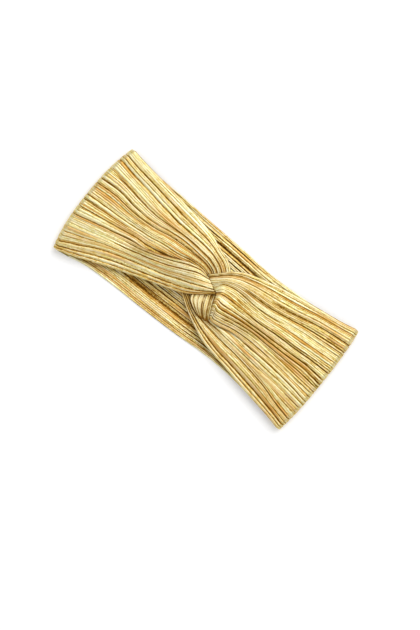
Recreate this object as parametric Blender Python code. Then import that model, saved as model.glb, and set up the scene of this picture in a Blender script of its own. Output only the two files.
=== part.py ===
"""Hair band of pleated gold cloth, lying flat, seen from above along -Z.

The band is one loop. Its two ends are folds, at -X and +X. A straight back band lies
underneath. A left strip and a right strip come round the folds to the front, and each
splits into two legs, which cross and tuck into each other at the knot.
"""

import math
from typing import NamedTuple

import bmesh
import bpy
import numpy as np

# Sizes of the whole band, in metres
BAND_LENGTH = 0.2525
END_WIDTH = 0.1050
WAIST_WIDTH = 0.0880
KNOT_OFFSET = 0.0022
CLOTH = 0.0012
PLEAT_DEPTH = 0.0012
HEAD_GAP = 0.0048
LAYER_GAP = 0.0006
SEAM_GAP = 0.0004
KNOT_GAP = 0.0007
LEFT_BOW = 0.0062
RIGHT_BOW = 0.0031
BACK_SEAM = 0.016

# Numbers of pleats across each leg, and of mesh steps along each stretch
UPPER_PLEATS = 11
LOWER_PLEATS = 5
UNDER_STEPS = 2
FOLD_STEPS = 8
SHARED_STEPS = 6
FREE_STEPS = 17
BACK_STEPS = 8

# The station of each strip, counted from the fold, at which its slit begins
LEFT_SLIT = 3
RIGHT_SLIT = 4

# A back rib's flat top or bottom, and each of its flanks, as shares of the rib's pitch
RIB_FLAT = 0.3
RIB_FLANK = 0.2
SHARP_ANGLE = 40

# What follows from the sizes
BAND_LIFT = (CLOTH + PLEAT_DEPTH) / 2
BACK_LEVEL = BAND_LIFT
FRONT_LEVEL = BACK_LEVEL + 2 * BAND_LIFT + HEAD_GAP
FOLD_RADIUS = (FRONT_LEVEL - BACK_LEVEL) / 2
LAYER_STEP = CLOTH + PLEAT_DEPTH + LAYER_GAP
LEFT_REACH = BAND_LENGTH / 2 + KNOT_OFFSET
RIGHT_REACH = BAND_LENGTH / 2 - KNOT_OFFSET
WAIST_SHARE = 0.2
FLARE_POWER = 2.2
BOW_POWER = 2.4
EASE_START = 0.55

GOLD = (0.638, 0.485, 0.202, 1.0)


class Station(NamedTuple):
    """One section across a leg, from its upper edge to its lower edge.

    along: shares of the reach from the knot to the fold, minus to the left
    across: shares of the band's half width there, minus below the middle
    layer: how many cloth layers each point lies above the front's lowest layer
    """

    along: tuple
    across: tuple
    layer: tuple


def level(along, *across):
    """A straight station in the lowest layer of the front."""
    return Station((along,) * len(across), across, (0.0,) * len(across))


# The line where the left strip's legs meet the right strip's, from the top of the knot
# down to the pinch below it. The lower left leg ends on its first half.
KNOT_LINE = Station(
    along=(-0.058, -0.028, 0.002, 0.036, 0.068, 0.084, 0.102, 0.118, 0.138),
    across=(0.235, 0.190, 0.145, 0.090, 0.050, -0.080, -0.200, -0.300, -0.410),
    layer=(1.45, 1.55, 1.60, 1.60, 1.55, 1.35, 1.20, 1.10, 1.00),
)
KNOT_TIP = 4

LEFT_UPPER = (
    level(-1.00, 1.00, 0.745, 0.33, 0.00, -0.37),
    level(-0.85, 1.00, 0.720, 0.36, 0.02, -0.30),
    level(-0.70, 1.00, 0.700, 0.33, 0.04, -0.225),
    level(-0.55, 0.99, 0.660, 0.335, 0.08, -0.145),
    level(-0.49, 0.98, 0.645, 0.36, 0.10, -0.106),
    level(-0.42, 0.96, 0.630, 0.40, 0.14, -0.090),
    Station((-0.28,) * 5, (0.915, 0.625, 0.44, 0.19, -0.02), (0.0, 0.10, 0.10, 0.05, 0.0)),
    Station((-0.18,) * 5, (0.860, 0.615, 0.425, 0.25, 0.06), (0.0, 0.25, 0.30, 0.10, 0.0)),
    Station(
        (-0.100, -0.095, -0.095, -0.100, -0.115),
        (0.770, 0.575, 0.400, 0.255, 0.070),
        (0.0, 0.30, 0.40, 0.20, 0.0),
    ),
    Station(
        (0.000, -0.020, -0.040, -0.055, -0.085),
        (0.670, 0.490, 0.340, 0.220, 0.040),
        (0.0, 0.10, 0.15, 0.10, 0.0),
    ),
    Station(
        (0.065, 0.035, 0.005, -0.025, -0.070),
        (0.480, 0.330, 0.210, 0.100, -0.020),
        (0.2, 0.20, 0.20, 0.20, 0.2),
    ),
    Station(
        (0.082, 0.055, 0.025, -0.010, -0.060),
        (0.250, 0.170, 0.080, 0.000, -0.090),
        (0.4, 0.40, 0.40, 0.40, 0.4),
    ),
    Station(
        (0.070, 0.048, 0.020, -0.015, -0.058),
        (0.040, 0.000, -0.050, -0.110, -0.170),
        (0.5, 0.55, 0.60, 0.55, 0.5),
    ),
    Station(
        (0.083, 0.060, 0.030, -0.010, -0.058),
        (-0.080, -0.110, -0.150, -0.195, -0.240),
        (0.6, 0.75, 0.80, 0.75, 0.7),
    ),
    Station(
        (0.101, 0.078, 0.045, 0.005, -0.045),
        (-0.200, -0.225, -0.255, -0.290, -0.325),
        (0.9, 1.05, 1.10, 1.00, 0.9),
    ),
    Station(
        (0.117, 0.095, 0.065, 0.030, -0.010),
        (-0.300, -0.320, -0.345, -0.370, -0.395),
        (1.0, 1.15, 1.20, 1.10, 1.0),
    ),
    Station(
        (0.136, 0.118, 0.093, 0.068, 0.042),
        (-0.405, -0.420, -0.435, -0.450, -0.460),
        (0.8, 0.8, 0.8, 0.8, 0.8),
    ),
)

LEFT_LOWER = (
    level(-1.00, -0.37, -0.530, -0.68, -0.85, -1.00),
    level(-0.85, -0.30, -0.470, -0.60, -0.745, -0.955),
    level(-0.70, -0.225, -0.390, -0.49, -0.60, -0.865),
    level(-0.55, -0.145, -0.305, -0.39, -0.475, -0.740),
    Station((-0.49,) * 5, (-0.122, -0.26, -0.35, -0.43, -0.690), (0.5, 0.3, 0.2, 0.2, 0.1)),
    Station((-0.42,) * 5, (-0.065, -0.21, -0.30, -0.38, -0.630), (1.0, 0.8, 0.6, 0.5, 0.4)),
    Station((-0.30,) * 5, (0.070, -0.10, -0.20, -0.29, -0.520), (1.3, 1.2, 1.0, 0.8, 0.7)),
    Station((-0.20,) * 5, (0.200, 0.03, -0.09, -0.19, -0.430), (1.5, 1.6, 1.5, 1.3, 1.0)),
    Station(
        (-0.120, -0.105, -0.090, -0.080, -0.070),
        (0.245, 0.150, 0.040, -0.060, -0.270),
        (1.6, 1.9, 2.0, 1.9, 1.4),
    ),
)

RIGHT_UPPER = (
    level(1.00, 1.00, 0.720, 0.42, 0.170, -0.04, -0.20, -0.39),
    level(0.85, 1.00, 0.730, 0.42, 0.175, -0.01, -0.19, -0.365),
    level(0.70, 1.00, 0.715, 0.415, 0.160, -0.02, -0.17, -0.35),
    level(0.55, 0.975, 0.650, 0.39, 0.150, -0.03, -0.155, -0.34),
    Station(
        (0.42,) * 7,
        (0.930, 0.600, 0.345, 0.125, -0.035, -0.150, -0.335),
        (0.0, 0.10, 0.15, 0.20, 0.20, 0.15, 0.0),
    ),
    Station(
        (0.30,) * 7,
        (0.860, 0.570, 0.335, 0.120, -0.060, -0.190, -0.345),
        (0.3, 0.50, 0.60, 0.80, 1.00, 1.00, 0.90),
    ),
    Station(
        (0.20,) * 7,
        (0.780, 0.530, 0.350, 0.120, -0.100, -0.250, -0.410),
        (0.7, 1.00, 1.20, 1.50, 1.80, 1.60, 1.15),
    ),
    Station(
        (0.120, 0.125, 0.125, 0.128, 0.138, 0.148, 0.165),
        (0.695, 0.470, 0.330, 0.115, -0.120, -0.270, -0.420),
        (1.0, 1.40, 1.60, 1.80, 2.10, 1.70, 1.15),
    ),
    Station(
        (0.055, 0.065, 0.070, 0.095, 0.108, 0.124, 0.150),
        (0.570, 0.385, 0.275, 0.100, -0.095, -0.235, -0.415),
        (1.2, 1.60, 1.80, 1.90, 1.90, 1.50, 1.05),
    ),
)

RIGHT_LOWER = (
    level(1.00, -0.39, -0.53, -0.77, -0.90, -1.00),
    level(0.85, -0.365, -0.53, -0.75, -0.89, -1.00),
    level(0.70, -0.35, -0.53, -0.69, -0.87, -0.995),
    level(0.55, -0.34, -0.52, -0.64, -0.835, -0.965),
    level(0.42, -0.335, -0.50, -0.60, -0.795, -0.915),
    level(0.30, -0.360, -0.475, -0.575, -0.755, -0.865),
    level(0.20, -0.375, -0.455, -0.545, -0.685, -0.810),
    level(0.10, -0.385, -0.435, -0.500, -0.595, -0.695),
    Station(
        (0.020, 0.015, 0.005, -0.002, -0.004),
        (-0.360, -0.395, -0.430, -0.465, -0.550),
        (0.0,) * 5,
    ),
    Station(
        (-0.040, -0.046, -0.053, -0.060, -0.070),
        (-0.270, -0.300, -0.330, -0.365, -0.430),
        (0.0,) * 5,
    ),
    Station(
        (-0.100, -0.110, -0.118, -0.126, -0.135),
        (-0.180, -0.205, -0.230, -0.255, -0.290),
        (0.0,) * 5,
    ),
)


# Depth of each valley between two pleats, as a share of the pleats' depth, from the upper
# edge of a leg to its lower edge. The deep ones are the band's main folds.
DEEP = 1.25
FAINT = 0.4
VALLEYS = {
    "left_upper": (1.0, DEEP, DEEP, FAINT, DEEP, DEEP, DEEP, FAINT, FAINT, 1.0, FAINT, 1.0),
    "left_lower": (1.0, DEEP, FAINT, DEEP, DEEP, 1.0),
    "right_upper": (1.0, FAINT, DEEP, DEEP, FAINT, FAINT, DEEP, FAINT, DEEP, DEEP, FAINT, 1.0),
    "right_lower": (1.0, DEEP, FAINT, DEEP, DEEP, 1.0),
}


class Edge(NamedTuple):
    """How far the back band reaches at one place, in shares of the half width."""

    along: float
    top: float
    bottom: float


BACK_EDGES = (
    Edge(-1.00, 1.000, -1.000),
    Edge(-0.75, 1.000, -0.975),
    Edge(-0.50, 1.030, -0.985),
    Edge(-0.25, 1.035, -1.015),
    Edge(0.00, 1.030, -1.015),
    Edge(0.25, 0.995, -0.975),
    Edge(0.50, 0.995, -0.975),
    Edge(0.75, 1.000, -1.000),
    Edge(1.00, 1.000, -1.000),
)


def through(knots, values, at):
    """Values of the smooth curve through the given knots, at each place of at."""
    knots = np.asarray(knots, float)
    values = np.asarray(values, float)
    at = np.asarray(at, float)
    step = np.diff(knots)
    shape = (-1,) + (1,) * (values.ndim - 1)
    slope = np.diff(values, axis=0) / step.reshape(shape)
    before, after = step[:-1].reshape(shape), step[1:].reshape(shape)
    inner = (slope[:-1] * after + slope[1:] * before) / (before + after)
    tangent = np.concatenate([slope[:1], inner, slope[-1:]])
    index = np.clip(np.searchsorted(knots, at, side="right") - 1, 0, len(step) - 1)
    share = ((at - knots[index]) / step[index]).reshape(shape)
    length = step[index].reshape(shape)
    return (
        (2 * share**3 - 3 * share**2 + 1) * values[index]
        + (share**3 - 2 * share**2 + share) * length * tangent[index]
        + (3 * share**2 - 2 * share**3) * values[index + 1]
        + (share**3 - share**2) * length * tangent[index + 1]
    )


def half_width(along):
    """Half of the band's width at a share of the reach: narrow at the waist, flared to the ends."""
    x = np.where(along < 0, along * LEFT_REACH, along * RIGHT_REACH)
    waist = WAIST_SHARE * RIGHT_REACH
    left = np.clip((waist - x) / (waist + LEFT_REACH), 0, 1)
    right = np.clip((x - waist) / (RIGHT_REACH - waist), 0, 1)
    flare = np.maximum(left, right) ** FLARE_POWER
    return (WAIST_WIDTH + (END_WIDTH - WAIST_WIDTH) * flare) / 2


def plan(along, across):
    """The x and y of a point given in shares. Near a fold, x is drawn in by the fold's bow."""
    reach = np.where(along < 0, LEFT_REACH, RIGHT_REACH)
    ease = np.clip((np.abs(along) - EASE_START) / (1 - EASE_START), 0, 1) ** 2
    bow = np.where(along < 0, LEFT_BOW, RIGHT_BOW) * np.abs(across) ** BOW_POWER
    pull = (FOLD_RADIUS + BAND_LIFT + bow) * ease
    x = KNOT_OFFSET + along * reach - np.sign(along) * pull
    return x, across * half_width(along)


def points(along, across, height):
    """Points at shares along and across the band, at a height."""
    x, y = plan(along, across)
    return np.stack([x, y, np.broadcast_to(height, x.shape)], axis=-1)


def wrapped(side, across):
    """Rows of middle points from the seam underneath, round the fold, to the front."""
    seam = 1 - BACK_SEAM / (LEFT_REACH if side < 0 else RIGHT_REACH)
    rows = []
    for share in np.linspace(seam, 1, UNDER_STEPS, endpoint=False):
        rows.append(points(np.full_like(across, side * share), across, BACK_LEVEL))
    middle = (FRONT_LEVEL + BACK_LEVEL) / 2
    for turn in np.linspace(0, math.pi, FOLD_STEPS, endpoint=False):
        row = points(np.full_like(across, float(side)), across, middle - FOLD_RADIUS * math.cos(turn))
        row[:, 0] += side * FOLD_RADIUS * math.sin(turn)
        rows.append(row)
    return rows


def leg_middle(side, stations, slit, pleats):
    """Middle points of one leg, from the seam underneath to the leg's end at the knot."""
    table = np.array([station for station in stations])
    lines = np.moveaxis(table, 1, 2)
    first = stations[0].across
    knots = [(first[0] - value) / (first[0] - first[-1]) for value in first]
    columns = np.linspace(0, 1, 2 * pleats + 1)
    lines = np.moveaxis(through(knots, np.moveaxis(lines, 1, 0), columns), 0, 1)
    x, y = plan(lines[..., 0], lines[..., 1])
    centre = len(columns) // 2
    walk = np.hypot(np.diff(x[:, centre]), np.diff(y[:, centre]))
    for row in range(slit):
        walk[row] = abs(stations[row + 1].along[0] - stations[row].along[0]) * RIGHT_REACH
    travel = np.concatenate([[0], np.cumsum(walk)])
    shared = np.linspace(0, travel[slit], SHARED_STEPS, endpoint=False)
    free = np.linspace(travel[slit], travel[-1], FREE_STEPS + 1)
    lines = through(travel, lines, np.concatenate([shared, free]))
    front = points(lines[..., 0], lines[..., 1], FRONT_LEVEL + lines[..., 2] * LAYER_STEP)
    return np.array(wrapped(side, lines[0, :, 1]) + list(front))


def faces_of_cloth(middle, waves):
    """The inner and outer points of a wall round the middle points, with its pleats."""
    down = np.gradient(middle, axis=0)
    cross = np.gradient(middle, axis=1)
    normal = np.cross(cross, down)
    normal /= np.linalg.norm(normal, axis=-1, keepdims=True)
    normal *= np.sign(normal[-1, 0, 2])
    half_pitch = np.linalg.norm(cross, axis=-1)
    depth = np.minimum(half_pitch / 2, PLEAT_DEPTH) / 2
    pleated = middle + normal * (depth * waves)[..., None]
    return pleated - normal * CLOTH / 2, pleated + normal * CLOTH / 2


def zigzag(valleys, rows):
    """Up to a ridge between each two valleys, down to each valley by its own share.

    The valleys are all alike underneath, and reach their own shares round the fold.
    """
    own = np.clip((np.arange(rows) - UNDER_STEPS) / FOLD_STEPS, 0, 1)[:, None]
    waves = np.ones((rows, 2 * len(valleys) - 1))
    waves[:, ::2] = -(1 - own) - own * np.array(valleys)
    return waves


def new_grid(rows, columns):
    """A flat grid whose points remember their row, their column and their side of the slit."""
    grid = bmesh.new()
    bmesh.ops.create_grid(grid, x_segments=rows, y_segments=columns, size=1)
    row_of = grid.verts.layers.int.new("row")
    column_of = grid.verts.layers.int.new("column")
    for vert in grid.verts:
        vert[row_of] = round((vert.co.x + 1) / 2 * rows)
        vert[column_of] = round((vert.co.y + 1) / 2 * columns)
    return grid, row_of, column_of


def add_piece(name, grid, material):
    """Makes the grid an object with outward faces."""
    bmesh.ops.recalc_face_normals(grid, faces=grid.faces)
    if grid.calc_volume(signed=True) < 0:
        bmesh.ops.reverse_faces(grid, faces=grid.faces)
    mesh = bpy.data.meshes.new(name)
    grid.to_mesh(mesh)
    grid.free()
    mesh.materials.append(material)
    mesh.shade_smooth()
    mesh.set_sharp_from_angle(angle=math.radians(SHARP_ANGLE))
    piece = bpy.data.objects.new(name, mesh)
    bpy.context.scene.collection.objects.link(piece)
    return piece


def thicken(grid, place):
    """Extrudes the sheet into a closed wall, then sets each inner and outer point by place."""
    inner = list(grid.verts)
    made = bmesh.ops.extrude_face_region(grid, geom=grid.faces[:])["geom"]
    outer = [item for item in made if isinstance(item, bmesh.types.BMVert)]
    for vert in inner:
        vert.co = place(vert, 0)
    for vert in outer:
        vert.co = place(vert, 1)


def add_strip(name, sign, upper, lower, slit, material):
    """A strip with two legs: one grid, slit lengthwise from the slit's station to its end."""
    side = name.split("_")[0]
    upper_middle = leg_middle(sign, upper, slit, UPPER_PLEATS)
    lower_middle = leg_middle(sign, lower, slit, LOWER_PLEATS)
    rows = UNDER_STEPS + FOLD_STEPS + SHARED_STEPS + FREE_STEPS
    upper_cloth = faces_of_cloth(upper_middle, zigzag(VALLEYS[side + "_upper"], rows + 1))
    lower_cloth = faces_of_cloth(lower_middle, zigzag(VALLEYS[side + "_lower"], rows + 1))
    slit_row = rows - FREE_STEPS
    slit_column = 2 * UPPER_PLEATS
    grid, row_of, column_of = new_grid(rows, 2 * (UPPER_PLEATS + LOWER_PLEATS))
    cut = [
        edge
        for edge in grid.edges
        if all(v[column_of] == slit_column for v in edge.verts)
        and min(v[row_of] for v in edge.verts) >= slit_row
    ]
    bmesh.ops.split_edges(grid, edges=cut)
    is_lower = grid.verts.layers.int.new("is_lower")
    for vert in grid.verts:
        vert[is_lower] = min(
            max(v[column_of] for v in face.verts) > slit_column for face in vert.link_faces
        )

    def place(vert, face):
        row, column = vert[row_of], vert[column_of]
        if vert[is_lower]:
            return lower_cloth[face][row, column - slit_column]
        return upper_cloth[face][row, column]

    thicken(grid, place)
    return add_piece(name, grid, material)


def knot_row(line, count, shift):
    """A leg's last station on the knot line, moved clear of it by half the seam's gap."""
    picks = np.linspace(0, len(line.along) - 1, count)
    values = through(range(len(line.along)), np.array(line).T, picks)
    along = values[:, 0] + shift * KNOT_GAP / 2 / RIGHT_REACH
    across = values[:, 1] + shift * KNOT_GAP / WAIST_WIDTH
    return Station(tuple(along), tuple(across), tuple(values[:, 2]))


def add_left_strip(material):
    """The left strip: its upper leg goes under the knot, its lower leg ends on top of it."""
    tip = Station(*(column[: KNOT_TIP + 1] for column in KNOT_LINE))
    lower = LEFT_LOWER + (knot_row(tip, len(LEFT_LOWER[0].along), -1),)
    return add_strip("left_strip", -1, LEFT_UPPER, lower, LEFT_SLIT, material)


def add_right_strip(material):
    """The right strip: its upper leg fans out of the knot, its lower leg runs underneath."""
    upper = RIGHT_UPPER + (knot_row(KNOT_LINE, len(RIGHT_UPPER[0].along), 1),)
    return add_strip("right_strip", 1, upper, RIGHT_LOWER, RIGHT_SLIT, material)


def add_back_band(material):
    """The straight back layer: flat-topped ribs, lying on their flat valleys."""
    ribs = UPPER_PLEATS + LOWER_PLEATS
    marks, waves = [], []
    for rib in range(ribs):
        marks += [rib, rib + RIB_FLAT, rib + RIB_FLAT + RIB_FLANK, rib + 2 * RIB_FLAT + RIB_FLANK]
        waves += [-1.0, -1.0, 1.0, 1.0]
    marks = np.array(marks + [ribs, ribs + RIB_FLAT]) / (ribs + RIB_FLAT)
    waves = np.array(waves + [-1.0, -1.0])
    left = -(1 - (BACK_SEAM + SEAM_GAP) / LEFT_REACH)
    right = 1 - (BACK_SEAM + SEAM_GAP) / RIGHT_REACH
    along = np.linspace(left, right, BACK_STEPS + 1)
    edges = through([edge.along for edge in BACK_EDGES], np.array(BACK_EDGES), along)
    top, bottom = edges[:, 1:2], edges[:, 2:3]
    across = top + (bottom - top) * marks
    middle = points(np.broadcast_to(along[:, None], across.shape), across, BACK_LEVEL)
    rise_by = waves * PLEAT_DEPTH / 2
    grid, row_of, column_of = new_grid(BACK_STEPS, len(marks) - 1)

    def place(vert, face):
        x, y, z = middle[vert[row_of], vert[column_of]]
        return (x, y, z + rise_by[vert[column_of]] + (face - 0.5) * CLOTH)

    thicken(grid, place)
    return add_piece("back_band", grid, material)


def gold_cloth():
    """The material of all three pieces."""
    material = bpy.data.materials.new("gold_cloth")
    material.use_nodes = True
    shader = material.node_tree.nodes["Principled BSDF"]
    shader.inputs["Base Color"].default_value = GOLD
    shader.inputs["Roughness"].default_value = 0.4
    shader.inputs["Metallic"].default_value = 0.7
    return material


def main():
    for thing in list(bpy.data.objects):
        bpy.data.objects.remove(thing)
    material = gold_cloth()
    add_left_strip(material)
    add_right_strip(material)
    add_back_band(material)


if __name__ == "__main__":
    main()
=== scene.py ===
"""Looks of the pleated gold hair band: its cloth, its finish, the floor, the light and the camera."""

import logging
import math
from dataclasses import dataclass
from enum import Enum
from typing import NamedTuple

import bpy
import numpy as np
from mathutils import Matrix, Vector


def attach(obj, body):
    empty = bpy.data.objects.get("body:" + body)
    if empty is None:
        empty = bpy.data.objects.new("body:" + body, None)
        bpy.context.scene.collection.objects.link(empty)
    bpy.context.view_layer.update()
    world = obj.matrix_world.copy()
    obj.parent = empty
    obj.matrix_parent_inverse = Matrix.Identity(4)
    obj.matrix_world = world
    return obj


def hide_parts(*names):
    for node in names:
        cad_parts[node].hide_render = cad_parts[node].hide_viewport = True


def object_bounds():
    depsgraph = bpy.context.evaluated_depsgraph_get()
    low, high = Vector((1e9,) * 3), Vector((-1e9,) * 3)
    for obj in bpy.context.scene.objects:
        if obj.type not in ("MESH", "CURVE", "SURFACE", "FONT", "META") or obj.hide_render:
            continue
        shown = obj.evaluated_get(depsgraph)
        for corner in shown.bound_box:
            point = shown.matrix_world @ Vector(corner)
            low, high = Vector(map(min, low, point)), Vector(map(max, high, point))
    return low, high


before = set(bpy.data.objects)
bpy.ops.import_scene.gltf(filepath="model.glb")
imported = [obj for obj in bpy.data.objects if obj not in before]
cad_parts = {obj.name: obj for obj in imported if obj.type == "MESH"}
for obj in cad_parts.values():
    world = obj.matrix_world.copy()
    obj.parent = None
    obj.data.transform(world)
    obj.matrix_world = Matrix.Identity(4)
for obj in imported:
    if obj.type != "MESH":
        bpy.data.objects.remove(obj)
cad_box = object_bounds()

log = logging.getLogger("hair_band")
MM = 0.001
WHITE = (1.0, 1.0, 1.0, 1.0)
Colour = tuple[float, float, float]

# Mesh columns to each rib, and mesh rows of a leg's tucked end
PER_RIB = 6
TUCK_ROWS = 10

# Each line's random change starts up to this share of a step further on
MOST_SHIFT = 0.999

# Where a cloth bends more than this many degrees, its faces aren't shaded as one
SMOOTH_ANGLE = 80


class Side(Enum):
    """The end of the band that a strip comes from."""

    LEFT = -1
    RIGHT = 1


class Edge(Enum):
    """A long edge of a leg, in the order of its stations' points."""

    UPPER = 0
    LOWER = 1


class Station(NamedTuple):
    """One section across a leg, from its upper edge to its lower edge.

    along: shares of the reach from the knot to the fold, minus to the left
    across: shares of the band's half width there, minus below the middle
    layer: how many cloth layers each point lies above the front's lowest layer
    """

    along: tuple[float, ...]
    across: tuple[float, ...]
    layer: tuple[float, ...]


def level(along: float, *across: float) -> Station:
    """A straight station in the lowest layer of the front.

    Args:
        along: Share of the reach, the same for all its points.
        across: Shares of the half width, from the upper edge down.

    Returns:
        The station.
    """
    return Station((along,) * len(across), across, (0.0,) * len(across))


def through(knots: np.ndarray, values: np.ndarray, at: np.ndarray) -> np.ndarray:
    """Reads the smooth curve through the given knots.

    Args:
        knots: Places of the knots, rising.
        values: One value or row of values for each knot.
        at: Places to read.

    Returns:
        The values at these places.
    """
    knots = np.asarray(knots, float)
    values = np.asarray(values, float)
    at = np.asarray(at, float)
    step = np.diff(knots)
    shape = (-1,) + (1,) * (values.ndim - 1)
    slope = np.diff(values, axis=0) / step.reshape(shape)
    before, after = step[:-1].reshape(shape), step[1:].reshape(shape)
    inner = (slope[:-1] * after + slope[1:] * before) / (before + after)
    tangent = np.concatenate([slope[:1], inner, slope[-1:]])
    index = np.clip(np.searchsorted(knots, at, side="right") - 1, 0, len(step) - 1)
    share = ((at - knots[index]) / step[index]).reshape(shape)
    length = step[index].reshape(shape)
    return (
        (2 * share**3 - 3 * share**2 + 1) * values[index]
        + (share**3 - 2 * share**2 + share) * length * tangent[index]
        + (3 * share**2 - 2 * share**3) * values[index + 1]
        + (share**3 - share**2) * length * tangent[index + 1]
    )


def smooth_step(value: np.ndarray) -> np.ndarray:
    """Rises from 0 to 1 without a corner while value goes from 0 to 1."""
    share = np.clip(value, 0, 1)
    return share * share * (3 - 2 * share)


def drift(seed: int, line: np.ndarray, place: np.ndarray) -> np.ndarray:
    """A slow random change along each of many lines, between 0 and 1.

    Args:
        seed: Number that picks the change.
        line: Number of the line that each point lies on.
        place: Place of each point along its line, in steps of the change.

    Returns:
        The value at each point.
    """
    table = np.random.RandomState(seed).rand(int(line.max()) + 2, int(place.max()) + 4)
    place = place + MOST_SHIFT * table[line, 0]
    low = np.floor(place).astype(int)
    share = smooth_step(place - low)
    return table[line, low] * (1 - share) + table[line, low + 1] * share


def travel(middle: np.ndarray, axis: int) -> np.ndarray:
    """Distances walked on a grid of points.

    Args:
        middle: The grid, with the three coordinates last.
        axis: Which way to walk, 0 along the cloth and 1 across it.

    Returns:
        How far each point lies from the grid's first row or column.
    """
    steps = np.linalg.norm(np.diff(middle, axis=axis), axis=-1)
    zero = np.zeros_like(np.take(steps, [0], axis=axis))
    return np.concatenate([zero, np.cumsum(steps, axis=axis)], axis=axis)


def rolled(distance: np.ndarray, radius: np.ndarray | float) -> np.ndarray:
    """How far the cloth drops where its edge is rolled down.

    Args:
        distance: How far each point lies from the edge.
        radius: Radius of the roll.

    Returns:
        The whole radius at the edge, and nothing from a radius away.
    """
    lean = np.clip(1 - distance / radius, 0, 1)
    return radius * (1 - np.sqrt(1 - lean**2))


@dataclass(frozen=True)
class BandPlan:
    """Sizes that lay out the whole band, in metres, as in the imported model.

    length, end_width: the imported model's box
    waist_width: width at the narrowest place
    knot_offset: how far the knot lies right of the box's middle
    wall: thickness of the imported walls, and depth of their pleats
    head_gap: clear height inside the loop
    layer_step: height from one layer of the front to the next
    fold_bow: how far the left fold's corners are drawn in, twice as far as the right fold's
    back_seam: distance from each fold to its seam
    waist_share: where the waist lies, as a share of the right reach
    flare_power, bow_power: powers of the width's curve and of the folds' bows
    ease_start: share of the reach from which a fold's bow draws the cloth in
    """

    length: float
    end_width: float
    waist_width: float = 0.0880
    knot_offset: float = 0.0022
    wall: float = 0.0012
    head_gap: float = 0.0048
    layer_step: float = 0.0030
    fold_bow: float = 0.0062
    back_seam: float = 0.016
    waist_share: float = 0.2
    flare_power: float = 2.2
    bow_power: float = 2.4
    ease_start: float = 0.55

    @property
    def back_level(self) -> float:
        """Height of the back layer's middle."""
        return self.wall

    @property
    def front_level(self) -> float:
        """Height of the middle of the front's lowest layer."""
        return self.wall * 3 + self.head_gap

    @property
    def fold_radius(self) -> float:
        """Radius of the cloth's middle round each end fold."""
        return (self.front_level - self.back_level) / 2

    def reach(self, side: Side) -> float:
        """Distance from the knot to an end of the band."""
        return self.length / 2 - side.value * self.knot_offset

    def half_width(self, along: np.ndarray) -> np.ndarray:
        """Half of the band's width at shares of the reach.

        Args:
            along: Shares of the reach, minus to the left.

        Returns:
            Half widths in metres, narrow at the waist and flared to the ends.
        """
        left, right = self.reach(Side.LEFT), self.reach(Side.RIGHT)
        x = np.where(along < 0, along * left, along * right)
        waist = self.waist_share * right
        to_left = np.clip((waist - x) / (waist + left), 0, 1)
        to_right = np.clip((x - waist) / (right - waist), 0, 1)
        flare = np.maximum(to_left, to_right) ** self.flare_power
        return (self.waist_width + (self.end_width - self.waist_width) * flare) / 2

    def points(self, along: np.ndarray, across: np.ndarray, height: np.ndarray) -> np.ndarray:
        """Points of the band from shares.

        Args:
            along: Shares of the reach, minus to the left.
            across: Shares of the half width.
            height: Heights in metres.

        Returns:
            Points in metres, with the three coordinates last.
        """
        reach = np.where(along < 0, self.reach(Side.LEFT), self.reach(Side.RIGHT))
        ease = np.clip((np.abs(along) - self.ease_start) / (1 - self.ease_start), 0, 1) ** 2
        bow = np.where(along < 0, self.fold_bow, self.fold_bow / 2) * np.abs(across) ** self.bow_power
        pull = (self.fold_radius + self.wall + bow) * ease
        x = self.knot_offset + along * reach - np.sign(along) * pull
        y = across * self.half_width(along)
        return np.stack([x, y, np.broadcast_to(height, x.shape)], axis=-1)


@dataclass(frozen=True)
class Valley:
    """One long valley between two folds.

    at: share across the leg, from its upper edge
    depth: depth in millimetres
    start, end: where it fades in and out, in shares of the reach
    breadth: half of its breadth in millimetres
    warmth_and_painted_bounce: how much painted warm bounce light lies beside it, from 0 for a valley with
    painted shade only to 1 for an orange one
    fade: length over which it fades, in shares of the reach
    """

    at: float
    depth: float
    start: float = -9.0
    end: float = 9.0
    breadth: float = 0.6
    warmth_and_painted_bounce: float = 0.5
    fade: float = 0.14

    def strength(self, way: np.ndarray) -> np.ndarray:
        """How much of the valley there is in each row, which lies at a share of the reach."""
        started = smooth_step((way - self.start) / self.fade + 0.5)
        return (started * smooth_step((self.end - way) / self.fade + 0.5))[:, None]


@dataclass(frozen=True)
class ValleySection:
    """The section that all the long valleys share. Distances are in shares of their breadth.

    cut_share: how deep the cloth is cut, as a share of the valley's depth
    cut_slope, cut_power: how fast the cut runs out to the sides
    dark_slope, dark_power: how fast its painted shade does
    dark_depth: depth in millimetres from which a valley's painted shade is full
    bounce_offset, bounce_reach: where the painted warm bounce light on its side lies, and how broad that is
    """

    cut_share: float = 0.42
    cut_slope: float = 1.35
    cut_power: float = 1.3
    dark_slope: float = 1.3
    dark_power: float = 1.5
    dark_depth: float = 1.2
    bounce_offset: float = 0.9
    bounce_reach: float = 1.1


@dataclass(frozen=True)
class Crease:
    """One kind of fine crease. Lengths in metres.

    shallowest, deepest: its least and its greatest depth
    reach: half of its breadth
    narrowest: the least share of its reach that it keeps where the ribs crowd
    faintest: its least painted shade
    shade_range: how much darker than that its painted shade may be
    palest: the least share of its painted shade that it keeps where the ribs crowd
    """

    shallowest: float
    deepest: float
    reach: float
    narrowest: float
    faintest: float
    shade_range: float
    palest: float


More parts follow.
